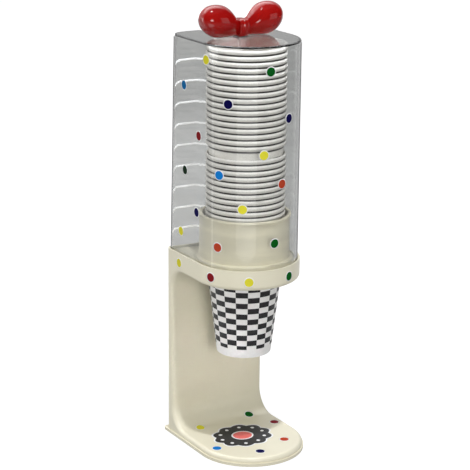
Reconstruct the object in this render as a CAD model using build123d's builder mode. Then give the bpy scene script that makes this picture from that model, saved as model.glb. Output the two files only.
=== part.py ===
from build123d import *
import os
from math import hypot

# Paper cup dispenser at its real size, in millimetres.
# +Z is up and -Y is the front. The origin lies on the floor, under the axis of the cups.

# Paper cup: a straight taper with a rolled rim and a recessed floor
cup_height = 85.0
cup_mouth_radius = 36.0
cup_taper = 10.0
cup_rim_overhang = 1.5
cup_rim_height = 4.0
cup_paper = 0.4
cup_floor_lift = 4.8
cup_pitch = 5.5
cup_rim_above_underside = 10.0

# Stack: a lower lot of nested cups, and an upper lot seated a little higher in it
lower_cup_count = 20
upper_cup_count = 17
upper_lot_rise = 12.1
nest_clearance = 0.32
groove_depth = 2.0

# Stand, one moulding of base, column and collar
throat_gap = 2.5
collar_wall = 11.3
base_depth = 129.0
base_height = 9.1
side_ledge = 1.2
rear_ledge = 2.0
flange_height = 2.8
flange_corner = 3.0
body_corner = 8.4
hand_gap = 162.2
column_depth = 14.0
collar_height = 18.8
collar_centre_forward = 1.6
gap_foot_radius = 22.0
gap_top_radius = 17.0
opening_edge_radius = 3.8
moulding_wall = 2.6

# Tray on top of the collar
tray_wall = 1.9
tray_depth = 2.1

# Base plate and feet
foot_stand = 1.0
plate_inset = 3.0
plate_thickness = 1.8
plate_recess = 0.4
plate_clearance = 0.3
base_hollow_side = 14.5
base_hollow_front = 38.5
base_hollow_rear = 24.5
peg_side = 4.0
peg_height = 2.4
peg_clearance = 0.15
peg_front_inset = 19.5
peg_side_inset = 9.0
peg_setback = 10.0
foot_pad = 12.0
foot_side_inset_front = 20.5
foot_side_inset_rear = 13.5
foot_inset_front = 28.5
foot_inset_rear = 14.5

# Cover of the hollow column, snapped in from behind by four hooks
panel_side_inset = 13.3
panel_foot_rise = 12.9
panel_top_drop = 7.3
panel_thickness = 2.4
panel_ledge = 3.0
panel_clearance = 0.25
hook_width = 10.0
hook_thickness = 1.6
hook_reach = 5.0
hook_barb = 1.0
hook_barb_length = 1.8
hook_inset = 22.0

# Cup sleeve
sleeve_wall = 1.9
sleeve_height = 46.1
sleeve_foot_gap = 1.7
sleeve_foot_height = 4.0
sleeve_lip_radius = 43.2
sleeve_lip_height = 2.6
sleeve_clearance = 0.2

# Grip ring, trapped in the collar below the sleeve
tongue_clearance = 0.3
grip_thickness = 1.5
grip_web = 3.2
tongue_count = 5
tongue_slot = 8.0

# Clear cover, with a channel down its rear wall
cover_headroom = 5.8
cover_wall = 2.0
cover_clearance = 0.4
cover_foot_corner = 6.1
cover_top_corner = 15.0
channel_mouth_half = 15.8
channel_floor_half = 11.5
channel_depth = 11.0
cover_rib_count = 9
cover_rib_first = 20.0
cover_rib_last_drop = 27.2
cover_rib_height = 1.6
cover_rib_depth = 1.0
cover_rib_end = 2.0

# Bow, one moulding, its square peg held by a push-on clip inside the cover
bow_length = 88.0
bow_height = 31.2
bow_depth = 24.0
bow_setback = 11.0
knot_width = 10.5
knot_depth = 17.0
knot_height = 16.6
bow_peg_side = 5.0
bow_peg_overhang = 1.0
bow_clip_side = 12.0
bow_clip_thickness = 1.2
peg_hole_clearance = 0.15

# The lobe's sections from the knot outwards, as shares of half the bow's length,
# of its height for the lowest and highest points, and of its depth
lobe_reach_shares = (0.08, 0.3, 0.58, 0.85, 1.0)
lobe_low_shares = (0.06, 0.02, 0.04, 0.15, 0.36)
lobe_high_shares = (0.57, 0.9, 1.0, 0.9, 0.6)
lobe_depth_shares = (0.5, 0.8, 1.0, 0.85, 0.4)
knot_rise_shares = (0.0, 0.25, 1.0)
knot_width_shares = (0.8, 1.0, 0.76)
knot_depth_shares = (0.5, 1.0, 0.66)
# The opening's rounded edge takes at most this share of the base's step above its flange
edge_share = 0.8

# One overrun serves every cut that passes a face, and one margin finds the edges on a plane
overrun = 5.0
edge_margin = 0.05

# Places that follow from the sizes above
cup_foot_radius = cup_mouth_radius - cup_taper
cup_rim_radius = cup_mouth_radius + cup_rim_overhang
throat_radius = cup_rim_radius + throat_gap
body_half = throat_radius + collar_wall
base_half = body_half + side_ledge
base_centre = base_half - base_depth / 2
base_front = -base_depth / 2
base_back = base_depth / 2
body_back = base_back - rear_ledge
flange_top = foot_stand + flange_height
gap_back = body_back - column_depth
underside = base_height + hand_gap
collar_top = underside + collar_height
tray_floor = collar_top - tray_depth
tray_half = body_half - tray_wall
tray_back = body_back - tray_wall
tray_corner = cover_foot_corner + cover_clearance
sleeve_radius = throat_radius + sleeve_wall
sleeve_top = tray_floor + sleeve_height
cover_half = tray_half - cover_clearance
cover_back = tray_back - cover_clearance
sleeve_foot_radius = cover_half - cover_wall - sleeve_foot_gap
cup_slope = cup_taper / cup_height
hanging_rim = underside + cup_rim_above_underside
lower_top_rim = hanging_rim + lower_cup_count * cup_pitch
upper_first_rim = lower_top_rim + upper_lot_rise
upper_top_rim = upper_first_rim + (upper_cup_count - 1) * cup_pitch
cover_top = upper_top_rim + cover_headroom
cover_height = cover_top - tray_floor
cover_rib_pitch = (cover_height - cover_rib_last_drop - cover_rib_first) / (cover_rib_count - 1)
# The upper lot's lowest cup is wider by what seats it in the cup below
upper_foot_radius = cup_foot_radius + upper_lot_rise * cup_slope - cup_paper - nest_clearance
groove_radius = cup_rim_radius - groove_depth
# The grip ring lies just under the lowest cup's rim, its tongues just off the cup's wall
ring_top = hanging_rim - cup_rim_height - tongue_clearance
ring_seat = ring_top - grip_thickness
tongue_radius = cup_foot_radius + cup_slope * (ring_top - hanging_rim + cup_height) + tongue_clearance

os.makedirs("parts", exist_ok=True)


def body_plan(half_width, front_centre, back, corner):
    """A plan with a half circle in front, straight sides and rounded rear corners."""
    with BuildSketch() as plan:
        with BuildLine():
            Line((half_width, front_centre), (half_width, back - corner))
            CenterArc((half_width - corner, back - corner), corner, 0, 90)
            Line((half_width - corner, back), (corner - half_width, back))
            CenterArc((corner - half_width, back - corner), corner, 90, 90)
            Line((-half_width, back - corner), (-half_width, front_centre))
            CenterArc((0, front_centre), half_width, 180, 180)
        make_face()
    return plan.sketch


def cover_plan(inset, corner):
    """The cover's plan, drawn in by inset, with the channel in its rear wall."""
    half = cover_half - inset
    back = cover_back - inset
    radius = corner - inset
    flare = channel_mouth_half - channel_floor_half
    widen = inset * (hypot(flare, channel_depth) - flare) / channel_depth
    mouth = channel_mouth_half + widen
    floor = channel_floor_half + widen
    floor_back = back - channel_depth
    with BuildSketch() as plan:
        with BuildLine():
            Line((half, -collar_centre_forward), (half, back - radius))
            CenterArc((half - radius, back - radius), radius, 0, 90)
            Polyline(
                (half - radius, back),
                (mouth, back),
                (floor, floor_back),
                (-floor, floor_back),
                (-mouth, back),
                (radius - half, back),
            )
            CenterArc((radius - half, back - radius), radius, 90, 90)
            Line((-half, back - radius), (-half, -collar_centre_forward))
            CenterArc((0, -collar_centre_forward), half, 180, 180)
        make_face()
    return plan.sketch


def cover_corner_at(height):
    """Radius of the cover's rear corner, which opens out from its foot to its top."""
    rise = (height - tray_floor) / cover_height
    return cover_foot_corner + rise * (cover_top_corner - cover_foot_corner)


def rib_plan():
    """A rib across the rear wall, between its corners, that follows the channel."""
    flare = channel_mouth_half - channel_floor_half
    end = cover_half - cover_top_corner - cover_rib_end
    insets = (cover_wall / 2, cover_wall + cover_rib_depth)
    outline = []
    for inset, side in zip(insets, (1, -1)):
        back = cover_back - inset
        widen = inset * (hypot(flare, channel_depth) - flare) / channel_depth
        mouth = channel_mouth_half + widen
        floor = channel_floor_half + widen
        outline += [
            (side * end, back),
            (side * mouth, back),
            (side * floor, back - channel_depth),
            (-side * floor, back - channel_depth),
            (-side * mouth, back),
            (-side * end, back),
        ]
    with BuildSketch() as plan:
        with BuildLine():
            Polyline(*outline, close=True)
        make_face()
    return plan.sketch


def wall_radius(foot_radius, above_foot):
    """Outer radius of a cup's wall at a height above its foot."""
    return foot_radius + cup_slope * above_foot


def nested_cups(foot_radius, first_rim, count, first_groove):
    """Half profile of nested cups, with grooves between the rims from first_groove up."""
    foot = first_rim - cup_height
    top = first_rim + (count - 1) * cup_pitch
    bead = first_rim - cup_rim_height
    inner_floor = top - cup_height + cup_floor_lift + cup_paper
    points = [
        (0, foot),
        (foot_radius, foot),
        (wall_radius(foot_radius, bead - foot), bead),
        (cup_rim_radius, bead),
        (cup_rim_radius, first_rim + (first_groove - 1) * cup_pitch),
    ]
    for rim in range(first_groove, count):
        points.append((groove_radius, first_rim + (rim - 1) * cup_pitch))
        points.append((cup_rim_radius, first_rim + rim * cup_pitch))
    points += [
        (cup_mouth_radius - cup_paper, top),
        (wall_radius(cup_foot_radius - cup_paper, inner_floor - top + cup_height), inner_floor),
        (0, inner_floor),
    ]
    return points


# Stand: the body's plan carried up the column, opened by the hand gap, on a flanged base
with BuildPart() as stand:
    with BuildSketch(Plane.XY.offset(flange_top)):
        add(body_plan(body_half, base_centre, body_back, body_corner))
    extrude(amount=base_height - flange_top)
    with BuildSketch(Plane.XY.offset(base_height)):
        add(body_plan(body_half, -collar_centre_forward, body_back, body_corner))
    extrude(amount=collar_top - base_height)
    with BuildSketch(Plane.YZ):
        with BuildLine():
            front = -base_depth
            Line((front, base_height), (gap_back - gap_foot_radius, base_height))
            CenterArc((gap_back - gap_foot_radius, base_height + gap_foot_radius), gap_foot_radius, -90, 90)
            Line((gap_back, base_height + gap_foot_radius), (gap_back, underside - gap_top_radius))
            CenterArc((gap_back - gap_top_radius, underside - gap_top_radius), gap_top_radius, 0, 90)
            Polyline(
                (gap_back - gap_top_radius, underside),
                (front, underside),
                (front, base_height),
            )
        make_face()
    extrude(amount=base_half + overrun, both=True, mode=Mode.SUBTRACT)
    # The whole edge of the C-shaped opening is one smooth chain
    opening_edges = stand.edges().filter_by(Axis.X, reverse=True).filter_by(
        lambda edge: base_height - edge_margin <= (edge @ 0.5).Z <= underside + edge_margin
        and (edge @ 0.5).Y <= gap_back + edge_margin
    )
    fillet(opening_edges, min(opening_edge_radius, (base_height - flange_top) * edge_share))
    with BuildSketch(Plane.XY.offset(foot_stand)):
        add(body_plan(base_half, base_centre, base_back, flange_corner))
    extrude(amount=flange_height)
    # Tray and throat
    with BuildSketch(Plane.XY.offset(tray_floor)):
        add(body_plan(tray_half, -collar_centre_forward, tray_back, tray_corner))
    extrude(amount=tray_depth + overrun, mode=Mode.SUBTRACT)
    with BuildSketch(Plane.XY.offset(underside - overrun)):
        Circle(throat_radius)
    extrude(amount=overrun + collar_height, mode=Mode.SUBTRACT)
    with BuildSketch(Plane.XY.offset(ring_seat)):
        Circle(sleeve_radius + sleeve_clearance)
    extrude(amount=collar_height, mode=Mode.SUBTRACT)
    # Seat of the base plate, with a hollow and three sockets above it
    with BuildSketch(Plane.XY.offset(foot_stand)):
        add(body_plan(base_half - plate_inset, base_centre, base_back - plate_inset, flange_corner))
    extrude(amount=plate_recess + plate_thickness, mode=Mode.SUBTRACT)
    plate_top = foot_stand + plate_recess + plate_thickness
    hollow_front = base_front + base_hollow_front
    hollow_rear = base_back - base_hollow_rear
    with BuildSketch(Plane.XY.offset(plate_top)):
        with Locations((0, (hollow_front + hollow_rear) / 2)):
            Rectangle(2 * (base_half - base_hollow_side), hollow_rear - hollow_front)
    extrude(amount=base_height - moulding_wall - plate_top, mode=Mode.SUBTRACT)
    peg_spread = base_half - peg_side_inset
    peg_places = [
        (0, base_front + peg_front_inset),
        (-peg_spread, peg_setback),
        (peg_spread, peg_setback),
    ]
    with BuildSketch(Plane.XY.offset(plate_top)):
        with Locations(*peg_places):
            Rectangle(peg_side + 2 * peg_clearance, peg_side + 2 * peg_clearance)
    extrude(amount=peg_height + peg_clearance, mode=Mode.SUBTRACT)
    # Hollow column, open behind, with a rebate for its cover and catches for the hooks
    panel_half_width = body_half - panel_side_inset
    panel_foot = base_height + panel_foot_rise
    panel_top = underside - panel_top_drop
    panel_middle = (panel_foot + panel_top) / 2
    panel_height = panel_top - panel_foot
    hollow_half = panel_half_width - panel_ledge
    hook_heights = (panel_foot + hook_inset, panel_top - hook_inset)
    barb_start = panel_thickness + hook_reach - hook_barb_length
    rear_plane = Plane(origin=(0, body_back, 0), x_dir=(-1, 0, 0), z_dir=(0, 1, 0))
    with BuildSketch(rear_plane):
        with Locations((0, panel_middle)):
            Rectangle(2 * panel_half_width, panel_height)
    extrude(amount=-panel_thickness, mode=Mode.SUBTRACT)
    with BuildSketch(rear_plane):
        with Locations((0, panel_middle)):
            Rectangle(2 * hollow_half, panel_height - 2 * panel_ledge)
    extrude(amount=-(column_depth - moulding_wall), mode=Mode.SUBTRACT)
    with BuildSketch(rear_plane.offset(panel_clearance - barb_start)):
        for hook_height in hook_heights:
            with Locations((0, hook_height)):
                Rectangle(
                    2 * (hollow_half + hook_barb + panel_clearance),
                    hook_width + 2 * panel_clearance,
                )
    extrude(amount=-(hook_barb_length + 2 * panel_clearance), mode=Mode.SUBTRACT)
stand.part.label = "stand"
export_step(stand.part, "parts/stand.step")

# Base plate: closes the base from below, on three square pegs
with BuildPart() as base_plate:
    with BuildSketch(Plane.XY.offset(foot_stand + plate_recess)):
        plate_edge = plate_inset + plate_clearance
        add(body_plan(base_half - plate_edge, base_centre, base_back - plate_edge, flange_corner))
    extrude(amount=plate_thickness)
    with BuildSketch(Plane.XY.offset(plate_top)):
        with Locations(*peg_places):
            Rectangle(peg_side, peg_side)
    extrude(amount=peg_height)
base_plate.part.label = "base_plate"
export_step(base_plate.part, "parts/base_plate.step")

# Four rubber feet, square pads stuck to the base plate
foot_spread_front = base_half - foot_side_inset_front
foot_spread_rear = base_half - foot_side_inset_rear
foot_front = base_front + foot_inset_front
foot_rear = base_back - foot_inset_rear
foot_places = {
    "foot_front_left": (-foot_spread_front, foot_front),
    "foot_front_right": (foot_spread_front, foot_front),
    "foot_rear_left": (-foot_spread_rear, foot_rear),
    "foot_rear_right": (foot_spread_rear, foot_rear),
}
for foot_name, foot_place in foot_places.items():
    with BuildPart() as foot:
        with BuildSketch():
            with Locations(foot_place):
                Rectangle(foot_pad, foot_pad)
        extrude(amount=foot_stand + plate_recess)
    foot.part.label = foot_name
    export_step(foot.part, "parts/" + foot_name + ".step")

# Cover of the column, let into its back, with a hook near each corner
with BuildPart() as column_back_cover:
    with BuildSketch(rear_plane):
        with Locations((0, panel_middle)):
            Rectangle(
                2 * (panel_half_width - panel_clearance),
                panel_height - 2 * panel_clearance,
            )
    extrude(amount=-panel_thickness)
    hook_outside = hollow_half - panel_clearance
    for hook_height in hook_heights:
        for side in (-1, 1):
            with BuildSketch(rear_plane.offset(-panel_thickness)):
                with Locations((side * (hook_outside - hook_thickness / 2), hook_height)):
                    Rectangle(hook_thickness, hook_width)
            extrude(amount=-hook_reach)
            with BuildSketch(rear_plane.offset(-barb_start)):
                with Locations((side * hook_outside, hook_height)):
                    Rectangle(2 * hook_barb, hook_width)
            extrude(amount=-hook_barb_length)
column_back_cover.part.label = "column_back_cover"
export_step(column_back_cover.part, "parts/column_back_cover.step")

# Grip ring: its tongues reach in under the rim of the lowest cup
with BuildPart() as grip_ring:
    with BuildSketch(Plane.XY.offset(ring_seat)):
        Circle(sleeve_radius)
        Circle(tongue_radius, mode=Mode.SUBTRACT)
        with PolarLocations(tongue_radius, tongue_count):
            Rectangle(
                2 * (sleeve_radius - grip_web - tongue_radius), tongue_slot, mode=Mode.SUBTRACT
            )
    extrude(amount=grip_thickness)
grip_ring.part.label = "grip_ring"
export_step(grip_ring.part, "parts/grip_ring.step")

# Cup sleeve: its spigot goes down to the grip ring, and its foot stands in the tray
with BuildPart() as cup_sleeve:
    with BuildSketch(Plane.XZ):
        with BuildLine():
            Polyline(
                (throat_radius, ring_top),
                (sleeve_radius, ring_top),
                (sleeve_radius, tray_floor),
                (sleeve_foot_radius, tray_floor),
                (sleeve_foot_radius, tray_floor + sleeve_foot_height),
                (sleeve_radius, tray_floor + sleeve_foot_height),
                (sleeve_radius, sleeve_top - sleeve_lip_height),
                (sleeve_lip_radius, sleeve_top - sleeve_lip_height),
                (sleeve_lip_radius, sleeve_top),
                (throat_radius, sleeve_top),
                close=True,
            )
        make_face()
    revolve(axis=Axis.Z)
cup_sleeve.part.label = "cup_sleeve"
export_step(cup_sleeve.part, "parts/cup_sleeve.step")

# Clear cover: a drafted shell, open below, with ribs across its rear wall
peg_hole_side = bow_peg_side + 2 * peg_hole_clearance
with BuildPart() as clear_cover:
    with BuildSketch(Plane.XY.offset(tray_floor)):
        add(cover_plan(0, cover_foot_corner))
    with BuildSketch(Plane.XY.offset(cover_top)):
        add(cover_plan(0, cover_top_corner))
    loft(ruled=True)
    with BuildSketch(Plane.XY.offset(tray_floor)):
        add(cover_plan(cover_wall, cover_foot_corner))
    with BuildSketch(Plane.XY.offset(cover_top - cover_wall)):
        add(cover_plan(cover_wall, cover_corner_at(cover_top - cover_wall)))
    loft(ruled=True, mode=Mode.SUBTRACT)
    for rib in range(cover_rib_count):
        rib_height = tray_floor + cover_rib_first + rib * cover_rib_pitch
        with BuildSketch(Plane.XY.offset(rib_height)):
            add(rib_plan())
        extrude(amount=cover_rib_height)
    with BuildSketch(Plane.XY.offset(cover_top)):
        with Locations((0, bow_setback)):
            Rectangle(peg_hole_side, peg_hole_side)
    extrude(amount=-(cover_wall + overrun), mode=Mode.SUBTRACT)
clear_cover.part.label = "clear_cover"
export_step(clear_cover.part, "parts/clear_cover.step")

# Bow: two swelling lobes drawn in to a creased knot, standing on the cover's top
bow_half = bow_length / 2
with BuildPart() as bow_knob:
    for reach, low, high, depth in zip(
        lobe_reach_shares, lobe_low_shares, lobe_high_shares, lobe_depth_shares
    ):
        with BuildSketch(Plane.YZ.offset(reach * bow_half)):
            with Locations((bow_setback, cover_top + (low + high) / 2 * bow_height)):
                Ellipse(depth * bow_depth / 2, (high - low) / 2 * bow_height)
    loft(ruled=True)
    mirror(about=Plane.YZ)
    for rise, wide, deep in zip(knot_rise_shares, knot_width_shares, knot_depth_shares):
        with BuildSketch(Plane.XY.offset(cover_top + rise * knot_height)):
            with Locations((0, bow_setback)):
                Ellipse(wide * knot_width / 2, deep * knot_depth / 2)
    loft(ruled=True)
    with BuildSketch(Plane.XY.offset(cover_top)):
        with Locations((0, bow_setback)):
            Rectangle(bow_peg_side, bow_peg_side)
    extrude(amount=-(cover_wall + bow_clip_thickness + bow_peg_overhang))
bow_knob.part.label = "bow_knob"
export_step(bow_knob.part, "parts/bow_knob.step")

# Clip of the bow, pushed over its peg against the cover's ceiling
with BuildPart() as bow_clip:
    with BuildSketch(Plane.XY.offset(cover_top - cover_wall)):
        with Locations((0, bow_setback)):
            Rectangle(bow_clip_side, bow_clip_side)
            Rectangle(bow_peg_side, bow_peg_side, mode=Mode.SUBTRACT)
    extrude(amount=-bow_clip_thickness)
bow_clip.part.label = "bow_clip"
export_step(bow_clip.part, "parts/bow_clip.step")

# The lowest cup, hanging by its rim
hanging_foot = hanging_rim - cup_height
bead_above_foot = cup_height - cup_rim_height
floor_above_foot = cup_floor_lift + cup_paper
with BuildPart() as hanging_cup:
    with BuildSketch(Plane.XZ):
        with BuildLine():
            Polyline(
                (cup_foot_radius - cup_paper, hanging_foot),
                (cup_foot_radius, hanging_foot),
                (wall_radius(cup_foot_radius, bead_above_foot), hanging_foot + bead_above_foot),
                (cup_rim_radius, hanging_foot + bead_above_foot),
                (cup_rim_radius, hanging_rim),
                (cup_mouth_radius - cup_paper, hanging_rim),
                (
                    wall_radius(cup_foot_radius - cup_paper, floor_above_foot),
                    hanging_foot + floor_above_foot,
                ),
                (0, hanging_foot + floor_above_foot),
                (0, hanging_foot + cup_floor_lift),
                (cup_foot_radius - cup_paper, hanging_foot + cup_floor_lift),
                close=True,
            )
        make_face()
    revolve(axis=Axis.Z)
hanging_cup.part.label = "hanging_cup"
export_step(hanging_cup.part, "parts/hanging_cup.step")

# Lower lot of nested cups: the rims that the sleeve hides are one plain band
hidden_rims = int((sleeve_top - hanging_rim) / cup_pitch)
with BuildPart() as lower_cup_stack:
    with BuildSketch(Plane.XZ):
        with BuildLine():
            Polyline(
                nested_cups(cup_foot_radius, hanging_rim + cup_pitch, lower_cup_count, hidden_rims),
                close=True,
            )
        make_face()
    revolve(axis=Axis.Z)
lower_cup_stack.part.label = "lower_cup_stack"
export_step(lower_cup_stack.part, "parts/lower_cup_stack.step")

# Upper lot of nested cups, its top cup open
with BuildPart() as upper_cup_stack:
    with BuildSketch(Plane.XZ):
        with BuildLine():
            Polyline(
                nested_cups(upper_foot_radius, upper_first_rim, upper_cup_count, 1),
                close=True,
            )
        make_face()
    revolve(axis=Axis.Z)
upper_cup_stack.part.label = "upper_cup_stack"
export_step(upper_cup_stack.part, "parts/upper_cup_stack.step")
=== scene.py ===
from math import atan2, cos, pi, radians, sin, tau

import bmesh
import bpy
from mathutils import Euler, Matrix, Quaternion, Vector


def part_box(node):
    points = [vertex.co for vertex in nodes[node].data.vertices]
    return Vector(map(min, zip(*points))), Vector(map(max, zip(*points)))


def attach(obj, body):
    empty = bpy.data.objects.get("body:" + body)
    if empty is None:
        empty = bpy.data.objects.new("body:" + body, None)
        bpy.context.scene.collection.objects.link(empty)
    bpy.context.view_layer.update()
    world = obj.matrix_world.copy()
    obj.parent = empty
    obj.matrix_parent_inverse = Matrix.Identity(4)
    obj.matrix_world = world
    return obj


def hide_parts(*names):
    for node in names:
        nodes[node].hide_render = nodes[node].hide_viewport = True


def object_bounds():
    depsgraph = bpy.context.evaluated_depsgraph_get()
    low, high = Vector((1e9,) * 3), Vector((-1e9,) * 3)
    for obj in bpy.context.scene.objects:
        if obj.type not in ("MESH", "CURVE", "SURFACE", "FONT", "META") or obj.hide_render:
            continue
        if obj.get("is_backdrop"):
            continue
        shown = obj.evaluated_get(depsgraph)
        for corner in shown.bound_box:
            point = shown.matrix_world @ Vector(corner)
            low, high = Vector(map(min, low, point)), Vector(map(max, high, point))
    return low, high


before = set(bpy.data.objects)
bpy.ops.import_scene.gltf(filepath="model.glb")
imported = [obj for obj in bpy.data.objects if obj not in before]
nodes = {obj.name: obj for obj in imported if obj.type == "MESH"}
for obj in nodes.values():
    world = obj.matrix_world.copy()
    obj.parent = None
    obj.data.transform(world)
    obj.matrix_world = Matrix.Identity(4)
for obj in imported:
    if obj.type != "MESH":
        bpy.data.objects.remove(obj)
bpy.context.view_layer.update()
scene = bpy.context.scene


# Stand: one C-shaped moulding of base, column and collar, in warm ivory plastic with a
# soft gloss. The base plate and the column's back cover are of the same plastic and are
# held by pegs and hooks.

IVORY = (0.76, 0.72, 0.555)
IVORY_SHADE = (0.735, 0.69, 0.525)
IVORY_GLOSS = 0.34
TINT_START = 0.35
TINT_END = 0.65
FLOW_SCALE = 22.0
SMEAR_SCALE = 60.0
PIT_SCALE = 700.0
PIT_DEPTH = 0.0004
GLOSS_LOW = 0.85
GLOSS_HIGH = 1.2
COAT_ROUGHNESS = 0.08


def feed(tree, socket, given):
    """Gives an input a value, or links it to the output of another node."""
    if isinstance(given, bpy.types.NodeSocket):
        tree.links.new(given, socket)
    else:
        socket.default_value = given


def set_inputs(tree, node, **inputs):
    """Feeds a node's inputs by name, with _ for each space."""
    for name, given in inputs.items():
        feed(tree, node.inputs[name.replace("_", " ")], given)


def shader_node(tree, kind, **inputs):
    """A new node with its inputs fed."""
    made = tree.nodes.new(kind)
    set_inputs(tree, made, **inputs)
    return made


def noise(tree, place, scale, detail, roughness=0.5):
    """The level of a noise pattern over the given coordinates."""
    return shader_node(
        tree, "ShaderNodeTexNoise", Vector=place, Scale=scale, Detail=detail, Roughness=roughness,
    ).outputs["Fac"]


def ranged(tree, level, from_low, from_high, to_low=0.0, to_high=1.0):
    """A level stretched from one range to another, and held beyond its ends."""
    return shader_node(
        tree, "ShaderNodeMapRange", Value=level, From_Min=from_low, From_Max=from_high,
        To_Min=to_low, To_Max=to_high,
    ).outputs["Result"]


def toned(tree, level, stops, blend="LINEAR"):
    """A colour that goes through stops, each a level and a colour, in rising order."""
    ramp = shader_node(tree, "ShaderNodeValToRGB", Fac=level)
    ramp.color_ramp.interpolation = blend
    elements = ramp.color_ramp.elements
    while len(elements) < len(stops):
        elements.new(0.5)
    for element, (position, colour) in zip(elements, stops):
        element.position = position
        element.color = (*colour, 1)
    return ramp.outputs["Color"]


def tinted(tree, level, low, high):
    """A colour that drifts between two with the level of a noise."""
    return toned(tree, level, ((TINT_START, low), (TINT_END, high)))


def bumped(tree, height, strength, distance):
    """The normal of a surface with a fine relief."""
    return shader_node(
        tree, "ShaderNodeBump", Height=height, Strength=strength, Distance=distance,
    ).outputs["Normal"]


def new_finish(name):
    """A new material with its shader tree and its main shader."""
    finish = bpy.data.materials.new(name)
    finish.use_nodes = True
    return finish, finish.node_tree, finish.node_tree.nodes["Principled BSDF"]


def moulded(name, colour, shade, gloss, coat=0.0, grain=0.02, mirror=0.5, painted_glow=0.0):
    """Moulded plastic or rubber: faint flow marks, uneven gloss and a fine grain, with a painted
    glow where one is given.
    """
    finish, tree, shader = new_finish(name)
    place = shader_node(tree, "ShaderNodeTexCoord").outputs["Object"]
    flow = noise(tree, place, FLOW_SCALE, 3.0, 0.55)
    smear = noise(tree, place, SMEAR_SCALE, 2.0)
    pits = noise(tree, place, PIT_SCALE, 1.0)
    set_inputs(
        tree, shader,
        Base_Color=tinted(tree, flow, shade, colour),
        Roughness=ranged(tree, smear, 0.0, 1.0, gloss * GLOSS_LOW, gloss * GLOSS_HIGH),
        Normal=bumped(tree, pits, grain, PIT_DEPTH),
        Specular_IOR_Level=mirror,
        Coat_Weight=coat,
        Coat_Roughness=COAT_ROUGHNESS,
        Emission_Color=(1, 1, 1, 1),
        Emission_Strength=painted_glow,
    )
    return finish


def dress(node, finish):
    """A CAD node keeps its shape and takes the finish."""
    nodes[node].material_slots[0].material = finish


ivory = moulded("ivory_moulding", IVORY, IVORY_SHADE, IVORY_GLOSS)
dress("stand", ivory)
dress("base_plate", ivory)
dress("column_back_cover", ivory)


# Feet and grip ring: square rubber pads stuck under the base plate, and the soft ring in
# the collar whose tongues hold the lowest cup by its rim.

foot_rubber = moulded("foot_rubber", (0.035, 0.035, 0.035), (0.022, 0.022, 0.022), 0.75)
for corner in ("front_left", "front_right", "rear_left", "rear_right"):
    dress("foot_" + corner, foot_rubber)
grip_rubber = moulded("grip_rubber", (0.62, 0.58, 0.49), (0.55, 0.51, 0.42), 0.6)
dress("grip_ring", grip_rubber)


# Cup sleeve: a tube of ivory plastic that guides the nested cups. Its spigot reaches down
# to the grip ring, its flange stands in the collar's tray and its top is a rolled lip.

MM = 0.001
TRAY_FLOOR = 188.0
SLEEVE_BORE = 40.0
SLEEVE_OUTER = 41.9
SLEEVE_FOOT = 45.3
SLEEVE_LIP = 43.2
SLEEVE_TOP = 234.1
SLEEVE_STEPS = 96
MERGE_DISTANCE = 0.000002


def turned(mesh, profile, steps):
    """Turns a (radius, height) profile in millimetres round the cups' axis."""
    corners = [mesh.verts.new((radius * MM, 0, height * MM)) for radius, height in profile]
    edges = [mesh.edges.new(pair) for pair in zip(corners, corners[1:])]
    bmesh.ops.spin(
        mesh, geom=corners + edges, cent=(0, 0, 0), axis=(0, 0, 1), dvec=(0, 0, 0),
        angle=tau, steps=steps, use_merge=True,
    )


def finished(mesh, name, *finishes, crease=35):
    """The piece from its mesh: doubles merged, faces outwards, smooth but at its edges."""
    bmesh.ops.remove_doubles(mesh, verts=mesh.verts, dist=MERGE_DISTANCE)
    bmesh.ops.recalc_face_normals(mesh, faces=mesh.faces)
    data = bpy.data.meshes.new(name)
    mesh.to_mesh(data)
    mesh.free()
    for finish in finishes:
        data.materials.append(finish)
    data.shade_smooth()
    data.set_sharp_from_angle(angle=radians(crease))
    piece = bpy.data.objects.new(name, data)
    scene.collection.objects.link(piece)
    return piece


def hold_flats(piece):
    """Keeps large flat faces even where they run into small rounded edges."""
    flats = piece.modifiers.new("flats", "WEIGHTED_NORMAL")
    flats.keep_sharp = True


ring_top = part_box("grip_ring")[1].z / MM
sleeve_mesh = bmesh.new()
turned(sleeve_mesh, [
    (SLEEVE_BORE, ring_top + 0.4), (SLEEVE_BORE + 0.4, ring_top), (SLEEVE_OUTER - 0.3, ring_top),
    (SLEEVE_OUTER, ring_top + 0.3), (SLEEVE_OUTER, TRAY_FLOOR), (SLEEVE_FOOT - 0.2, TRAY_FLOOR),
    (SLEEVE_FOOT, TRAY_FLOOR + 0.3), (SLEEVE_FOOT, TRAY_FLOOR + 3.2),
    (SLEEVE_FOOT - 0.25, TRAY_FLOOR + 3.75), (SLEEVE_FOOT - 0.8, TRAY_FLOOR + 4.0),
    (SLEEVE_OUTER + 0.8, TRAY_FLOOR + 4.0), (SLEEVE_OUTER + 0.2, TRAY_FLOOR + 4.3),
    (SLEEVE_OUTER, TRAY_FLOOR + 5.0), (SLEEVE_OUTER, SLEEVE_TOP - 3.4),
    (SLEEVE_OUTER + 0.15, SLEEVE_TOP - 2.8), (SLEEVE_LIP - 0.5, SLEEVE_TOP - 2.6),
    (SLEEVE_LIP - 0.1, SLEEVE_TOP - 2.2), (SLEEVE_LIP, SLEEVE_TOP - 1.4),
    (SLEEVE_LIP - 0.15, SLEEVE_TOP - 0.6), (SLEEVE_LIP - 0.6, SLEEVE_TOP - 0.1),
    (SLEEVE_LIP - 1.2, SLEEVE_TOP), (SLEEVE_BORE + 0.8, SLEEVE_TOP),
    (SLEEVE_BORE + 0.2, SLEEVE_TOP - 0.3), (SLEEVE_BORE, SLEEVE_TOP - 1.0),
    (SLEEVE_BORE, ring_top + 0.4),
], SLEEVE_STEPS)
sleeve_ivory = moulded("sleeve_moulding", (0.84, 0.785, 0.60), (0.815, 0.755, 0.565), 0.3)
sleeve = finished(sleeve_mesh, "turned_sleeve", sleeve_ivory)
hold_flats(sleeve)
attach(sleeve, "stand")
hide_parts("cup_sleeve")
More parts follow.
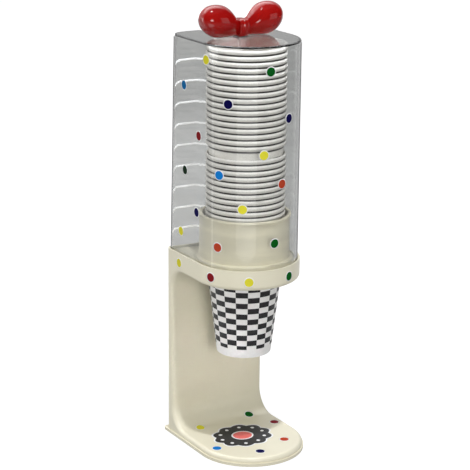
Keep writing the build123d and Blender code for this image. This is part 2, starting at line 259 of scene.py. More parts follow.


# Paper cups: coated paper with a rolled rim and a recessed floor, printed with a
# checkerboard of 18 columns that stops short of foot and rim. One cup hangs below the
# collar and 37 are nested above it in two lots. Their rims have painted light and shade.

CUP_HEIGHT = 85.0
CUP_FOOT = 26.0
CUP_MOUTH = 36.0
CUP_PAPER = 0.4
CUP_STEPS = 96
# The floor is set in above the foot, and the wall runs straight from a little higher
FLOOR_UNDER = 4.8
FLOOR_OVER = 5.2
WALL_FROM = 9.0
RIM_OVERHANG = 1.5
ROLL_OUT = 1.0
ROLL_UP = 2.0
ROLL_STEPS = 10
ROLL_FROM = -115
ROLL_ANGLE = 290
CUP_PITCH = 5.5
NESTED_STEPS = 72
LOWER_COUNT = 20
UPPER_COUNT = 17
# The cups of the upper lot are wider at the foot, so their lot sits higher
UPPER_CUP_FOOT = 26.7
CHECK_COLUMNS = 18
CHECK_ROW = 5.5
CHECK_START = 6.87
CHECK_TURN = 24.2
PRINT_START = 8.5
PRINT_END = 72.5
INK = ((0.012, 0.012, 0.013), (0.024, 0.024, 0.025))
PAPER = ((0.81, 0.80, 0.775), (0.85, 0.845, 0.825))
FIBRE_SCALE = 420.0
FIBRE_RELIEF = 0.12
FIBRE_DEPTH = 0.0002
PAPER_SMOOTH = 0.38
PAPER_ROUGH = 0.5
PAPER_MIRROR = 0.25
# Heights on a cup and the part of its rolled rim that each belongs to, for the painted light
# and shade on the rim
RIM_ZONE = 78.0
RIM_PARTS = (
    (78.6, "ridge"), (79.4, "slit"), (81.0, "slit"),
    (81.2, "bead"), (82.5, "bead"), (84.0, "ridge"),
)
# A Mix node's numbered sockets for colours
MIX_SHARE, MIX_FIRST, MIX_SECOND, MIX_RESULT = 0, 6, 7, 2


def paper_cup(mesh, foot, foot_radius, steps):
    """One cup on the axis, its foot at a height, with its print laid out as UVs."""

    def wall(height):
        """The outer radius at a height above the foot."""
        return foot_radius + (CUP_MOUTH - foot_radius) * height / CUP_HEIGHT

    before = set(mesh.verts)
    rim_radius = wall(CUP_HEIGHT) + RIM_OVERHANG - ROLL_OUT
    rim_height = CUP_HEIGHT - ROLL_UP
    profile = [
        (0, FLOOR_UNDER), (foot_radius - 1.2, FLOOR_UNDER), (foot_radius - 0.8, 4.2),
        (foot_radius - 0.8, 0.2), (foot_radius - 0.6, 0), (foot_radius - 0.2, 0),
        (foot_radius, 0.2), (wall(WALL_FROM), WALL_FROM),
        (wall(CUP_HEIGHT - 2 * ROLL_UP), CUP_HEIGHT - 2 * ROLL_UP + 0.3),
    ]
    for step in range(ROLL_STEPS):
        turn = radians(ROLL_FROM + ROLL_ANGLE * step / (ROLL_STEPS - 1))
        profile.append((rim_radius + ROLL_OUT * cos(turn), rim_height + ROLL_UP * sin(turn)))
    profile += [
        (wall(CUP_HEIGHT - 3.0) - CUP_PAPER, CUP_HEIGHT - 3.0),
        (wall(WALL_FROM) - CUP_PAPER, WALL_FROM), (wall(6.4) - CUP_PAPER - 0.05, 6.4),
        (wall(5.6) - CUP_PAPER - 0.5, 5.5), (wall(FLOOR_OVER) - CUP_PAPER - 1.6, FLOOR_OVER),
        (0, FLOOR_OVER),
    ]
    turned(mesh, [(radius, foot + height) for radius, height in profile], steps)
    print_map = mesh.loops.layers.uv.verify()
    for face in {face for vert in set(mesh.verts) - before for face in vert.link_faces}:
        middle = face.calc_center_median()
        turn = atan2(middle.y, middle.x) / tau
        inside = Vector(middle.xy).length / MM < wall(middle.z / MM - foot) - CUP_PAPER / 2
        for loop in face.loops:
            here = atan2(loop.vert.co.y, loop.vert.co.x) / tau
            here += round(turn - here)
            rise = 0 if inside else (loop.vert.co.z / MM - foot) / CUP_HEIGHT
            loop[print_map].uv = (here, rise)


def calculated(tree, operation, first, second=0.5, clamp=False):
    """The result of a Math node on two levels."""
    step = tree.nodes.new("ShaderNodeMath")
    step.operation = operation
    step.use_clamp = clamp
    feed(tree, step.inputs[0], first)
    feed(tree, step.inputs[1], second)
    return step.outputs["Value"]


def overlaid(tree, share, first, second, blend="MIX"):
    """A share of the second colour laid over the first."""
    mix = tree.nodes.new("ShaderNodeMix")
    mix.data_type = "RGBA"
    mix.blend_type = blend
    feed(tree, mix.inputs[MIX_SHARE], share)
    feed(tree, mix.inputs[MIX_FIRST], first)
    feed(tree, mix.inputs[MIX_SECOND], second)
    return mix.outputs[MIX_RESULT]


def printed_paper(name, **rim_painted_light):
    """White coated paper with a black checkerboard between two heights of the cup. The rim
    has painted light and shade: a tone on its ridge, on the bead at its side and in the slit
    under it, in place of the highlight and shade that fall there."""
    finish, tree, shader = new_finish(name)
    place = shader_node(tree, "ShaderNodeTexCoord").outputs
    layout = shader_node(
        tree, "ShaderNodeMapping", Vector=place["UV"],
        Location=(-CHECK_TURN * CHECK_COLUMNS / 360, -CHECK_START / CHECK_ROW, 0),
        Scale=(CHECK_COLUMNS, CUP_HEIGHT / CHECK_ROW, 1),
    )
    checks = shader_node(
        tree, "ShaderNodeTexChecker", Vector=layout.outputs["Vector"], Scale=1.0,
    )
    height = shader_node(tree, "ShaderNodeSeparateXYZ", Vector=place["UV"]).outputs["Y"]
    below = calculated(tree, "LESS_THAN", height, PRINT_START / CUP_HEIGHT)
    above = calculated(tree, "GREATER_THAN", height, PRINT_END / CUP_HEIGHT)
    bare = calculated(tree, "MAXIMUM", below, above)
    plain = calculated(tree, "MAXIMUM", bare, checks.outputs["Fac"])
    fibre = noise(tree, place["Object"], FIBRE_SCALE, 4.0, 0.6)
    printed = overlaid(tree, plain, tinted(tree, fibre, *INK), tinted(tree, fibre, *PAPER))
    # Painted light and shade on the rim, laid over the print by height
    rim = toned(tree, ranged(tree, height, RIM_ZONE / CUP_HEIGHT, 1.0), [
        ((level - RIM_ZONE) / (CUP_HEIGHT - RIM_ZONE), rim_painted_light[part])
        for level, part in RIM_PARTS
    ])
    set_inputs(
        tree, shader,
        Base_Color=overlaid(tree, 1.0, printed, rim, "MULTIPLY"),
        Normal=bumped(tree, fibre, FIBRE_RELIEF, FIBRE_DEPTH),
        Roughness=ranged(tree, fibre, 0.0, 1.0, PAPER_SMOOTH, PAPER_ROUGH),
        Specular_IOR_Level=PAPER_MIRROR,
    )
    return finish


def verts_of(parts):
    """The vertices among the parts of a mesh."""
    return [part for part in parts if isinstance(part, bmesh.types.BMVert)]


def nested(foot, foot_radius, count):
    """Cups nested in each other, one pitch apart, all copies of the lowest."""
    mesh = bmesh.new()
    paper_cup(mesh, foot, foot_radius, NESTED_STEPS)
    one = mesh.verts[:] + mesh.edges[:] + mesh.faces[:]
    for place in range(1, count):
        copy = bmesh.ops.duplicate(mesh, geom=one)["geom"]
        bmesh.ops.translate(mesh, verts=verts_of(copy), vec=(0, 0, place * CUP_PITCH * MM))
    return mesh


# Painted shade in the slit under the hanging cup's bead
cup_paper = printed_paper(
    "printed_cup_paper", slit=(0.82, 0.81, 0.78), bead=(1, 1, 1), ridge=(1, 1, 1),
)
hanging_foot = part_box("hanging_cup")[0].z / MM
cup_mesh = bmesh.new()
paper_cup(cup_mesh, hanging_foot, CUP_FOOT, CUP_STEPS)
lowest_cup = finished(cup_mesh, "lowest_paper_cup", cup_paper)
hold_flats(lowest_cup)
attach(lowest_cup, "lowest_cup")
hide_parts("hanging_cup")

# Painted light and shade on the nested rims: a painted highlight on each ridge, painted shade on
# the bead's side and a near-black painted shadow in the slit between cups
nested_paper = printed_paper(
    "nested_cup_paper", slit=(0.05, 0.045, 0.038), bead=(0.84, 0.82, 0.78),
    ridge=(1.12, 1.1, 1.06),
)
lower_mesh = nested(hanging_foot + CUP_PITCH, CUP_FOOT, LOWER_COUNT)
lower_cups = finished(lower_mesh, "lower_nested_cups", nested_paper)
hold_flats(lower_cups)
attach(lower_cups, "stack")
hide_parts("lower_cup_stack")

upper_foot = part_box("upper_cup_stack")[0].z / MM
upper_mesh = nested(upper_foot, UPPER_CUP_FOOT, UPPER_COUNT)
upper_cups = finished(upper_mesh, "upper_nested_cups", nested_paper)
hold_flats(upper_cups)
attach(upper_cups, "stack")
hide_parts("upper_cup_stack")


# Clear cover: a tall D-shaped moulding of clear plastic, open below, with a channel in
# its rear wall. It stands loose in the collar's tray and its wall is 2 mm thick.

COVER_HALF = 49.0
COVER_CENTRE = -1.6
COVER_BACK = 60.2
COVER_TOP = 397.2
COVER_WALL = 2.0
COVER_EDGE = 2.0
FOOT_CORNER = 6.1
TOP_CORNER = 15.0
CHANNEL_MOUTH = 15.8
CHANNEL_FLOOR = 11.5
CHANNEL_DEPTH = 11.0
CHANNEL_CORNER = 2.4
FRONT_STEPS = 48
CORNER_STEPS = 8
CLEAR_TINT = (0.97, 0.975, 0.965)
CLEAR_STREAK = tuple(part * 0.93 for part in CLEAR_TINT)
CLEAR_SHADOW = (0.95, 0.95, 0.945, 1)
CLEAR_DEPTH = (0.1, 0.12, 0.1, 1)
CLEAR_DENSITY = 60.0
CLEAR_ROUGHNESS = 0.015
CLEAR_HAZE = 0.05
CLEAR_IOR = 1.49
STREAK_SCALE = 140.0
STREAK_STRETCH = (0.12, 0.12, 1.0)
WEAR_SCALE = 35.0
WEAR_FROM, WEAR_TO = 0.4, 0.75
# Painted shade: a dark line is painted on the wall's limbs as it turns from the eye, and
# sooner on its rear corners, from the foot to just under the top plate
LIMB_PAINTED_SHADE = (0.02, 0.022, 0.02, 1)
LIMB_START = 0.73
LIMB_END = 0.9
LIMB_DARK = 0.9
LIMB_REAR = 0.2
REAR_FROM, REAR_TO = 44.0, 54.0
OUTER_FROM, OUTER_TO = 30.0, 40.0
LIMB_TOP_FROM, LIMB_TOP_TO = COVER_TOP - 3, COVER_TOP - 2


def cover_outline(mesh, height, corner, inset=0.0):
    """The cover's outline at a height, drawn in by inset, as one flat face."""
    half, back = (COVER_HALF - inset) * MM, (COVER_BACK - inset) * MM
    mouth, floor = (CHANNEL_MOUTH + inset) * MM, (CHANNEL_FLOOR + inset) * MM
    centre, level, depth = COVER_CENTRE * MM, height * MM, CHANNEL_DEPTH * MM
    before = set(mesh.verts)
    bmesh.ops.spin(
        mesh, geom=[mesh.verts.new((-half, centre, level))], cent=(0, centre, level),
        axis=(0, 0, 1), dvec=(0, 0, 0), angle=pi, steps=FRONT_STEPS, use_merge=False,
    )
    around = sorted(set(mesh.verts) - before, key=lambda vert: vert.co.x)
    rear = [
        (half, back), (mouth, back), (floor, back - depth),
        (-floor, back - depth), (-mouth, back), (-half, back),
    ]
    rear = [mesh.verts.new((x, y, level)) for x, y in rear]
    mesh.faces.new(around + rear)
    for places, radius in ((rear[::5], corner - inset), (rear[1:5], CHANNEL_CORNER)):
        bmesh.ops.bevel(
            mesh, geom=places, offset=radius * MM, offset_type="OFFSET", affect="VERTICES",
            segments=CORNER_STEPS, profile=0.5, material=-1,
        )


def mixed_shaders(tree, share, first, second):
    """Two shaders mixed, with the second one's share given."""
    mix = shader_node(tree, "ShaderNodeMixShader", Fac=share)
    tree.links.new(first, mix.inputs[1])
    tree.links.new(second, mix.inputs[2])
    return mix.outputs["Shader"]


def clear_plastic(name):
    """Clear plastic, faintly streaked and hazed, greyer where more of it is looked through,
    with painted shade at its limbs, that lets the lamps in."""
    finish, tree, shader = new_finish(name)
    place = shader_node(tree, "ShaderNodeTexCoord").outputs["Object"]
    drawn = shader_node(tree, "ShaderNodeMapping", Vector=place, Scale=STREAK_STRETCH)
    streaks = noise(tree, drawn.outputs["Vector"], STREAK_SCALE, 2.0)
    wear = noise(tree, place, WEAR_SCALE, 3.0)
    dull = CLEAR_ROUGHNESS + CLEAR_HAZE
    haze = ranged(tree, wear, WEAR_FROM, WEAR_TO, CLEAR_ROUGHNESS, dull)
    set_inputs(
        tree, shader, Transmission_Weight=1.0, IOR=CLEAR_IOR, Roughness=haze,
        Base_Color=tinted(tree, streaks, CLEAR_STREAK, CLEAR_TINT),
    )
    spot = shader_node(tree, "ShaderNodeSeparateXYZ", Vector=place).outputs
    rear = ranged(tree, spot["Y"], REAR_FROM * MM, REAR_TO * MM, 0.0, LIMB_REAR)
    aside = calculated(tree, "ABSOLUTE", spot["X"])
    outer = ranged(tree, aside, OUTER_FROM * MM, OUTER_TO * MM)
    turned_away = shader_node(tree, "ShaderNodeLayerWeight", Blend=0.5).outputs["Facing"]
    away = calculated(tree, "ADD", turned_away, calculated(tree, "MULTIPLY", rear, outer))
    limb = ranged(tree, away, LIMB_START, LIMB_END, 0.0, LIMB_DARK)
    upright = ranged(tree, spot["Z"], LIMB_TOP_FROM * MM, LIMB_TOP_TO * MM, 1.0, 0.0)
    line = calculated(tree, "MULTIPLY", limb, upright)
    # Painted shade: a dark line mixed in on the limbs, in place of the dark edges of clear plastic
    dark = shader_node(tree, "ShaderNodeBsdfDiffuse", Color=LIMB_PAINTED_SHADE).outputs["BSDF"]
    edged = mixed_shaders(tree, line, shader.outputs["BSDF"], dark)
    through = shader_node(tree, "ShaderNodeBsdfTransparent", Color=CLEAR_SHADOW).outputs["BSDF"]
    path = shader_node(tree, "ShaderNodeLightPath").outputs
    body = shader_node(
        tree, "ShaderNodeVolumeAbsorption", Color=CLEAR_DEPTH, Density=CLEAR_DENSITY,
    )
    set_inputs(
        tree, tree.nodes["Material Output"],
        Surface=mixed_shaders(tree, path["Is Shadow Ray"], edged, through),
        Volume=body.outputs["Volume"],
    )
    return finish


clear = clear_plastic("clear_cover_plastic")
cover_mesh = bmesh.new()
cover_outline(cover_mesh, TRAY_FLOOR, FOOT_CORNER)
risen = bmesh.ops.extrude_face_region(cover_mesh, geom=cover_mesh.faces[:])["geom"]
top_verts = verts_of(risen)
bmesh.ops.translate(cover_mesh, verts=top_verts, vec=(0, 0, (COVER_TOP - TRAY_FLOOR) * MM))
# The rear corners open out from the foot to the top
for side in (-1, 1):
    sharp = Vector((side * COVER_HALF * MM, COVER_BACK * MM, COVER_TOP * MM))
    near = FOOT_CORNER * MM * 1.01
    for vert in top_verts:
        if abs(vert.co.x - sharp.x) < near and sharp.y - vert.co.y < near:
            vert.co = sharp + (vert.co - sharp) * TOP_CORNER / FOOT_CORNER
foot_level = (TRAY_FLOOR + 1) * MM
foot_faces = [face for face in cover_mesh.faces if all(v.co.z < foot_level for v in face.verts)]
bmesh.ops.delete(cover_mesh, geom=foot_faces, context="FACES_ONLY")
top_edges = {
    edge for vert in top_verts for edge in vert.link_edges if edge.other_vert(vert) in top_verts
}
bmesh.ops.bevel(
    cover_mesh, geom=list(top_edges), offset=COVER_EDGE * MM, offset_type="OFFSET",
    affect="EDGES", segments=4, profile=0.5, material=-1,
)
clear_cover = finished(cover_mesh, "clear_cover_shell", clear)
shell = clear_cover.modifiers.new("shell", "SOLIDIFY")
shell.thickness = COVER_WALL * MM
shell.offset = -1
shell.use_even_offset = True
hold_flats(clear_cover)
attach(clear_cover, "cover")
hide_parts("clear_cover")


# Ribs: nine of them across the inside of the cover's rear wall, moulded with it. Their
# edges gather light as clear plastic does, and that light is painted on: they are white
# as a painted highlight and glow a little.

RIB_COUNT = 9
RIB_FIRST = 208.0
RIB_PITCH = 20.25
RIB_HEIGHT = 1.6
RIB_DEPTH = 1.0
RIB_SKIN = 0.1
# A rib ends at this share of the corner's radius and dips on its way there
RIB_REACH = 0.62
RIB_DIP_FOOT = 42.0
RIB_DIP_TOP = 35.0
RIB_DIP_FADE = 0.8
CHANNEL_ZONE = 20.0
RIB_PAINTED_GLOW = 0.45

# The ribs' white is a painted highlight and their emission a painted glow
painted_rib_highlight = moulded("rib_painted_highlight", (0.93, 0.94, 0.94), (0.88, 0.89, 0.89), 0.4, painted_glow=RIB_PAINTED_GLOW)
rib_mesh = bmesh.new()
for number in range(RIB_COUNT):
    height = RIB_FIRST + number * RIB_PITCH
    share = (height - TRAY_FLOOR) / (COVER_TOP - TRAY_FLOOR)
    corner = FOOT_CORNER + (TOP_CORNER - FOOT_CORNER) * share
    dip_from = (RIB_DIP_FOOT + (RIB_DIP_TOP - RIB_DIP_FOOT) * share) * MM
    end = (COVER_BACK - corner * RIB_REACH) * MM
    before = set(rib_mesh.verts)
    cover_outline(rib_mesh, height, corner, COVER_WALL + RIB_DEPTH / 2)
    around = set(rib_mesh.verts) - before
    front = [
        vert for vert in around
        if vert.co.y < end and (abs(vert.co.x) > CHANNEL_ZONE * MM or vert.co.y < 0)
    ]
    for vert in around.difference(front):
        vert.co.z -= max(0.0, abs(vert.co.x) - dip_from) * (1 - RIB_DIP_FADE * share)
    bmesh.ops.delete(rib_mesh, geom=front, context="VERTS")
bmesh.ops.delete(rib_mesh, geom=rib_mesh.faces[:], context="FACES_ONLY")
risen = bmesh.ops.extrude_edge_only(rib_mesh, edges=rib_mesh.edges[:])["geom"]
bmesh.ops.translate(rib_mesh, verts=verts_of(risen), vec=(0, 0, RIB_HEIGHT * MM))
ribs = finished(rib_mesh, "cover_ribs", painted_rib_highlight)
depth = ribs.modifiers.new("depth", "SOLIDIFY")
depth.thickness = (RIB_DEPTH - RIB_SKIN) * MM
depth.offset = 0
hold_flats(ribs)
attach(ribs, "cover")


# Bow: the cover's knob, glossy red and moulded in one piece, two puffed loops gathered
# into a creased knot. A square peg under it goes through the cover's top into a clip that
# is pushed on from inside.

BOW_MIDDLE = Vector((0, 11.0, COVER_TOP))
BOW_STEPS = 48
PLEATS = 8
PLEAT_DEPTH = 0.05
PLEATED_RINGS = 6
# How square a ring is: 2 for an ellipse and more for a rounded rectangle
LOOP_SQUARENESS = 2
KNOT_SQUARENESS = 3.4
LOOP_BELLY = 0.72
BOW_CREASE = 60
# Each ring of a loop: its distance from the knot, lowest and highest point, and depth
BOW_RINGS = (
    (1.0, 1.2, 15.2, 9.0), (3.6, 1.0, 16.0, 10.0), (6.2, 0.8, 17.8, 11.6), (8.4, 0.5, 20.8, 15.0),
    (12.4, 0.1, 25.4, 19.6), (18.0, 0.0, 28.9, 22.8), (23.0, -0.1, 30.3, 23.9),
    (28.0, 0.4, 30.6, 24.0), (32.4, 1.8, 30.2, 23.2), (36.4, 4.3, 28.9, 21.0),
    (39.8, 7.8, 26.7, 17.2), (42.2, 12.0, 23.8, 11.6), (43.5, 16.0, 20.2, 4.8),
)
# Each ring of the knot: its height, width and depth
KNOT_RINGS = (
    (0.0, 9.6, 12.0), (1.4, 11.6, 16.0), (5.0, 11.8, 18.0), (10.0, 11.6, 18.6),
    (14.2, 11.4, 17.4), (16.8, 9.8, 14.0),
)


def gathered_ring(mesh, middle, across, up, pleats, squareness):
    """A ring of the bow in the plane of across and up, its pleats as deep as given."""
    ring = bmesh.ops.create_circle(mesh, segments=BOW_STEPS, radius=1.0)["verts"]
    for vert in ring:
        turn = atan2(vert.co.y, vert.co.x)
        swell = 1 + pleats * cos(PLEATS * turn)
        swell /= (abs(cos(turn)) ** squareness + abs(sin(turn)) ** squareness) ** (1 / squareness)
        # The underside of a loop is flatter, where the bow lies on the cover
        rise = sin(turn)
        if rise <= 0 and squareness == LOOP_SQUARENESS:
            rise = -abs(rise) ** LOOP_BELLY
        vert.co = middle + across * (cos(turn) * swell) + up * (rise * swell)
    return [edge for edge in mesh.edges if edge.verts[0] in ring and edge.verts[1] in ring]


def closed_loft(mesh, rings):
    """Joins rings of edges in a row and closes both ends."""
    for start, end in zip(rings, rings[1:]):
        bmesh.ops.bridge_loops(mesh, edges=start + end)
    for ring in (rings[0], rings[-1]):
        bmesh.ops.contextual_create(mesh, geom=ring)


red_gloss = moulded(
    "red_gloss", (0.37, 0.006, 0.004), (0.27, 0.003, 0.003), 0.3, coat=0.9, grain=0.01, mirror=0.0,
)
bow_mesh = bmesh.new()
for side in (-1, 1):
    rings = []
    for number, (reach, low, high, depth) in enumerate(BOW_RINGS):
        middle = (BOW_MIDDLE + Vector((side * reach, 0, (low + high) / 2))) * MM
        pleats = PLEAT_DEPTH * max(0.0, 1 - number / PLEATED_RINGS)
        rings.append(gathered_ring(
            bow_mesh, middle, Vector((0, side * depth / 2 * MM, 0)),
            Vector((0, 0, (high - low) / 2 * MM)), pleats, LOOP_SQUARENESS,
        ))
    closed_loft(bow_mesh, rings)
rings = []
for rise, width, depth in KNOT_RINGS:
    middle = (BOW_MIDDLE + Vector((0, 0, rise))) * MM
    rings.append(gathered_ring(
        bow_mesh, middle, Vector((width / 2 * MM, 0, 0)), Vector((0, depth / 2 * MM, 0)),
        PLEAT_DEPTH, KNOT_SQUARENESS,
    ))
closed_loft(bow_mesh, rings)
bow = finished(bow_mesh, "red_bow", red_gloss, crease=BOW_CREASE)
soft = bow.modifiers.new("soft", "SUBSURF")
soft.levels = soft.render_levels = 1
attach(bow, "cover")
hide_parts("bow_knob")
clip_plastic = moulded("clip_plastic", (0.72, 0.72, 0.70), (0.66, 0.66, 0.64), 0.4)
dress("bow_clip", clip_plastic)


# Dot stickers: round vinyl stickers 10 mm across with a white edge, put on by hand,
# fifteen on the cover, four round the collar and six on the base.

DOT_RADIUS = 4.9
DOT_EDGE = 0.7
DOT_HUB = 1.6
DOT_STEPS = 28
DOT_LIFT = 0.12
DOT_FILM = 0.08
VINYL_GLOSS = 0.5
INK_SHADE = 0.85
INK_MIRROR = 0.02
COLLAR_HALF = 51.3
BASE_TOP = 9.1
FOOT_CURVE_START = 26.5
FOOT_CURVE = 22.0
DOT_COLOURS = {
    "yellow": (0.76, 0.70, 0.045), "blue": (0.01, 0.14, 0.36), "green": (0.004, 0.10, 0.012),
    "navy": (0.004, 0.003, 0.055), "red": (0.22, 0.012, 0.016),
    "dark_green": (0.006, 0.022, 0.008), "light_blue": (0.008, 0.19, 0.58),
    "orange_red": (0.48, 0.06, 0.025), "dark_red": (0.26, 0.025, 0.035),
}
# Places on the cover and collar: colour, distance round from the left end of the rounded
# front (backwards along the side where it is negative), and height
COVER_DOTS = (
    ("yellow", 7.3, 382.5), ("blue", -31.4, 353.1), ("green", 71.1, 374.6),
    ("navy", 32.2, 345.1), ("navy", 92.9, 329.8), ("red", -4.4, 310.6),
    ("yellow", 65.6, 298.7), ("dark_green", -29.5, 273.2), ("light_blue", 23.7, 278.9),
    ("orange_red", 85.1, 270.1), ("yellow", 46.4, 248.7), ("navy", -8.0, 237.4),
    ("yellow", -37.1, 212.2), ("orange_red", 22.4, 210.5), ("green", 77.7, 214.8),
)
COLLAR_DOTS = (
    ("yellow", -36.9, 180.9), ("red", 17.3, 181.1),
    ("yellow", 55.5, 180.1), ("green", 98.8, 180.4),
)
# Places on the base: colour, sideways, and backwards along its top and up its curved foot
BASE_DOTS = (
    ("yellow", -30.2, 30.1), ("green", 27.8, 33.3), ("dark_red", 41.0, 6.7),
    ("orange_red", 26.2, -34.2), ("light_blue", -41.1, -20.0), ("navy", -9.1, -46.5),
)


def dot(mesh, colour):
    """A flat sticker round the origin: its disc takes the ink, its edge stays white."""
    before, faces_before = set(mesh.verts), set(mesh.faces)
    inked = DOT_RADIUS - DOT_EDGE
    spoke = [mesh.verts.new((x * MM, 0, 0)) for x in (0, DOT_HUB, inked, DOT_RADIUS)]
    edges = [mesh.edges.new(pair) for pair in zip(spoke, spoke[1:])]
    bmesh.ops.spin(
        mesh, geom=spoke + edges, cent=(0, 0, 0), axis=(0, 0, 1), dvec=(0, 0, 0),
        angle=tau, steps=DOT_STEPS, use_merge=True,
    )
    for face in set(mesh.faces) - faces_before:
        at_edge = face.calc_center_median().length > inked * MM
        face.material_index = 0 if at_edge else inks[colour]
    return list(set(mesh.verts) - before)


def wrapped_dots(places, half):
    """Stickers laid on the rounded front and the straight side of that half width."""
    mesh = bmesh.new()
    for colour, along, height in places:
        for vert in dot(mesh, colour):
            run = along * MM + vert.co.x
            out = (half + DOT_LIFT) * MM
            turn = pi + max(run, 0) / (half * MM)
            level = height * MM + vert.co.y
            vert.co = (out * cos(turn), COVER_CENTRE * MM + out * sin(turn) - min(run, 0), level)
    return mesh


def stuck_on(mesh, name, body):
    """Gives the stickers their thickness and sets them on a body."""
    stickers = finished(mesh, name, *vinyl)
    film = stickers.modifiers.new("film", "SOLIDIFY")
    film.thickness = DOT_FILM * MM
    film.offset = -1
    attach(stickers, body)


vinyl = [moulded("dot_white", (0.86, 0.86, 0.85), (0.82, 0.82, 0.81), VINYL_GLOSS)]
inks = {}
for name, colour in DOT_COLOURS.items():
    shade = tuple(part * INK_SHADE for part in colour)
    inks[name] = len(vinyl)
    vinyl.append(moulded("dot_" + name, colour, shade, VINYL_GLOSS, mirror=INK_MIRROR))

stuck_on(wrapped_dots(COVER_DOTS, COVER_HALF), "cover_dots", "cover")
stuck_on(wrapped_dots(COLLAR_DOTS, COLLAR_HALF), "collar_dots", "stand")
dot_mesh = bmesh.new()
for colour, across, back in BASE_DOTS:
    for vert in dot(dot_mesh, colour):
        run = back + vert.co.y / MM
        climb = max(run - FOOT_CURVE_START, 0) / FOOT_CURVE
        reach = FOOT_CURVE - DOT_LIFT
        vert.co.x += across * MM
        vert.co.y = (min(run, FOOT_CURVE_START) + reach * sin(climb)) * MM
        vert.co.z = (BASE_TOP + FOOT_CURVE - reach * cos(climb)) * MM
stuck_on(dot_mesh, "base_dots", "stand")


# Emblem: a printed sticker on the base, laid in flat layers, a black scalloped flower
# with a white border, a ring of white dots and a coral disc with a white edge.

EMBLEM_MIDDLE = (-4.0, -6.0)
EMBLEM_SIZE = (63.0, 54.0)
EMBLEM_BLACK_SIZE = (59.6, 50.6)
EMBLEM_RING = (22.5, 18.8)
EMBLEM_DOT_SIZE = (3.6, 3.6)
EMBLEM_DISC_SIZE = (22.0, 20.0)
EMBLEM_CORAL_SIZE = (19.0, 17.0)
EMBLEM_LEVELS = (0.10, 0.16, 0.22, 0.28)
SCALLOPS = 10
SCALLOP_DEPTH = 0.12
WHITE, BLACK, CORAL = 0, 1, 2


def emblem_layer(mesh, middle, size, layer, finish, steps, scallops=0):
    """One flat printed shape, an oval with or without scallops."""
    ring = bmesh.ops.create_circle(mesh, cap_ends=True, segments=steps, radius=1.0)["verts"]
    for vert in ring:
        turn = atan2(vert.co.y, vert.co.x)
        reach = 1.0
        if scallops:
            reach = 1 - SCALLOP_DEPTH + SCALLOP_DEPTH * abs(cos(scallops / 2 * turn))
        vert.co = Vector((
            middle[0] + size[0] / 2 * reach * cos(turn),
            middle[1] + size[1] / 2 * reach * sin(turn),
            BASE_TOP + EMBLEM_LEVELS[layer],
        )) * MM
    for face in {face for vert in ring for face in vert.link_faces}:
        face.material_index = finish


emblem_mesh = bmesh.new()
emblem_layer(emblem_mesh, EMBLEM_MIDDLE, EMBLEM_SIZE, 0, WHITE, 160, SCALLOPS)
emblem_layer(emblem_mesh, EMBLEM_MIDDLE, EMBLEM_BLACK_SIZE, 1, BLACK, 160, SCALLOPS)
for number in range(SCALLOPS):
    turn = tau * number / SCALLOPS
    place = (
        EMBLEM_MIDDLE[0] + EMBLEM_RING[0] * cos(turn),
        EMBLEM_MIDDLE[1] + EMBLEM_RING[1] * sin(turn),
    )
    emblem_layer(emblem_mesh, place, EMBLEM_DOT_SIZE, 2, WHITE, 24)
emblem_layer(emblem_mesh, EMBLEM_MIDDLE, EMBLEM_DISC_SIZE, 2, WHITE, 48)
emblem_layer(emblem_mesh, EMBLEM_MIDDLE, EMBLEM_CORAL_SIZE, 3, CORAL, 48)
emblem = finished(
    emblem_mesh, "flower_emblem",
    vinyl[0],
    moulded("emblem_black", (0.022, 0.022, 0.024), (0.016, 0.016, 0.018), 0.4, mirror=0.15),
    moulded("emblem_coral", (0.80, 0.13, 0.12), (0.74, 0.11, 0.10), 0.3),
)
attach(emblem, "stand")


# Studio: a pale floor and a white surround, a small high key lamp in front, soft fills
# round the object, two narrow lamps for its glints, and the photograph's camera.

WORLD_FILL = 0.38
THROUGH_CLEAR = 0.355
# What glossy faces see: dark in front, white behind, and grey low on the right. The room's
# levels go from the horizon to the ceiling.
FRONT_GREY = 0.05
ROOM_WHITE = 1.5
FRONT_END, REAR_START = -0.05, 0.45
RIGHT_START, RIGHT_FULL = 0.2, 0.4
ROOM_LEVELS = (
    (0.04, 0.67), (0.12, 0.33), (0.33, 0.33), (0.42, 1.0), (0.66, 1.0), (0.78, 4.5),
)
FLOOR_TONE = (0.26, 0.26, 0.26, 1)
FLOOR_GLOW = 0.91
FLOOR_FRONT = 0.15
FLOOR_DARK_END, FLOOR_WHITE_START = -0.2, 0.15
FLOOR_SIZE = 4.0
# Each lamp: place, aim, width, height, watts and the angle it spreads over
LAMPS = {
    "key": ((-0.14, -0.54, 2.0), (0, 0, 0.15), 0.06, 0.06, 22, 180),
    "front_fill": ((-0.45, -1.6, 0.5), (0, 0, 0.2), 0.5, 0.3, 5.9, 180),
    "left_fill": ((-1.4, 0.5, 0.4), (0, 0, 0.2), 0.6, 0.6, 4.0, 180),
    "right_fill": ((0.9, -1.1, 0.5), (0, 0, 0.25), 0.6, 0.6, 1.0, 180),
    "front_panel": ((-0.262, -0.426, 0.17), (0, 0, 0.19), 0.38, 0.24, 0.4, 180),
    "panel_light": ((-0.42, -0.9, 0.1), (-0.01, 0.05, 0.095), 0.06, 0.04, 0.008, 10),
    "left_strip": ((-0.40, 0.12, 0.24), (0, 0, 0.24), 0.035, 0.4, 0.075, 180),
    "rear_top": ((-1.0, 0.9, 1.6), (0, 0, 0.35), 0.9, 0.9, 4, 180),
    "rear_right": ((0.3, 1.5, 0.45), (0, 0, 0.2), 0.5, 0.5, 4, 180),
}
LAMP_COLOURS = {"key": (0.98, 1.0, 1.09)}
CAMERA_PLACE = (-0.7830, -1.2599, 0.6466)
CAMERA_TILT = 16.40
CAMERA_HEADING = -31.5
CAMERA_ROLL = 0.54
CAMERA_LENS = 125.72
CAMERA_SENSOR = 36.0


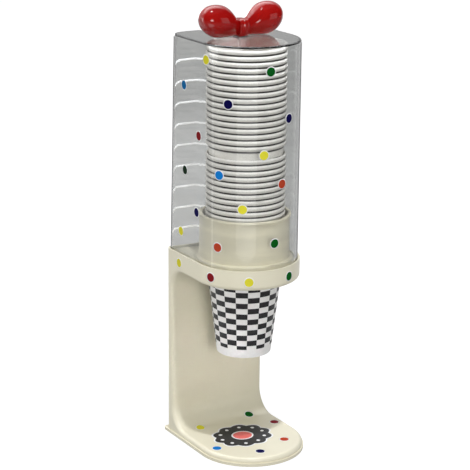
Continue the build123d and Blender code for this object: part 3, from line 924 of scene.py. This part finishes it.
def mirrored(tree, path):
    """1 for rays off a glossy face, and 0 for those through clear plastic and the rest."""
    glossy, refracted = path["Is Glossy Ray"], path["Is Transmission Ray"]
    return calculated(tree, "SUBTRACT", glossy, refracted, clamp=True)


def seen_level(tree, path, in_gloss):
    """How much of the white shows: all of it to the camera, the given level in gloss, less
    through clear plastic, as the room behind it would, and none as light on the object."""
    glossy = calculated(tree, "MULTIPLY", mirrored(tree, path), in_gloss)
    direct = calculated(tree, "MAXIMUM", path["Is Camera Ray"], glossy)
    through = calculated(tree, "MULTIPLY", path["Is Transmission Ray"], THROUGH_CLEAR)
    return calculated(tree, "MAXIMUM", direct, through)


surround = bpy.data.worlds.new("surround")
scene.world = surround
surround.use_nodes = True
tree = surround.node_tree
tree.nodes.clear()
direction = shader_node(tree, "ShaderNodeTexCoord").outputs["Generated"]
towards = shader_node(tree, "ShaderNodeSeparateXYZ", Vector=direction).outputs
path = shader_node(tree, "ShaderNodeLightPath").outputs
climb = toned(tree, towards["Z"], [(rise, (level,) * 3) for rise, level in ROOM_LEVELS], "EASE")
lit_side = ranged(tree, towards["X"], RIGHT_FULL, RIGHT_START)
sides = calculated(tree, "MAXIMUM", climb, lit_side)
depth = ranged(tree, towards["Y"], FRONT_END, REAR_START, FRONT_GREY, ROOM_WHITE)
seen = seen_level(tree, path, calculated(tree, "MULTIPLY", depth, sides))
fill = calculated(tree, "MULTIPLY", path["Is Diffuse Ray"], WORLD_FILL)
light = shader_node(
    tree, "ShaderNodeBackground", Color=(1, 1, 1, 1),
    Strength=calculated(tree, "MAXIMUM", seen, fill),
)
shader_node(tree, "ShaderNodeOutputWorld", Surface=light.outputs["Background"])

floor_paint, tree, paint = new_finish("studio_floor")
path = shader_node(tree, "ShaderNodeLightPath").outputs
place = shader_node(tree, "ShaderNodeTexCoord").outputs["Object"]
spot = shader_node(tree, "ShaderNodeSeparateXYZ", Vector=place).outputs
behind = ranged(tree, spot["Y"], FLOOR_DARK_END, FLOOR_WHITE_START, FLOOR_FRONT)
seen = seen_level(tree, path, behind)
set_inputs(
    tree, paint, Base_Color=FLOOR_TONE, Roughness=0.9, Specular_IOR_Level=0.0,
    Emission_Color=(1, 1, 1, 1), Emission_Strength=calculated(tree, "MULTIPLY", seen, FLOOR_GLOW),
)
floor_mesh = bmesh.new()
bmesh.ops.create_grid(floor_mesh, x_segments=1, y_segments=1, size=FLOOR_SIZE)
floor = finished(floor_mesh, "studio_floor", floor_paint)
floor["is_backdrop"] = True

for name, (place, aim, width, height, watts, spread) in LAMPS.items():
    light = bpy.data.lights.new(name, "AREA")
    light.shape = "RECTANGLE"
    light.size, light.size_y = width, height
    light.energy = watts
    light.spread = radians(spread)
    light.color = LAMP_COLOURS.get(name, (1, 1, 1))
    lamp = bpy.data.objects.new(name, light)
    lamp.location = place
    lamp.rotation_euler = (Vector(aim) - Vector(place)).to_track_quat("-Z", "Y").to_euler()
    lamp.visible_camera = lamp.visible_transmission = False
    scene.collection.objects.link(lamp)

camera_data = bpy.data.cameras.new("camera")
camera_data.lens = CAMERA_LENS
camera_data.sensor_width = CAMERA_SENSOR
camera = bpy.data.objects.new("camera", camera_data)
camera.location = CAMERA_PLACE
heading = Euler((radians(90 - CAMERA_TILT), 0, radians(CAMERA_HEADING))).to_quaternion()
camera.rotation_mode = "QUATERNION"
camera.rotation_quaternion = heading @ Quaternion((0, 0, 1), radians(CAMERA_ROLL))
scene.collection.objects.link(camera)
scene.camera = camera

scene.view_settings.view_transform = "Standard"

low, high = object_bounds()
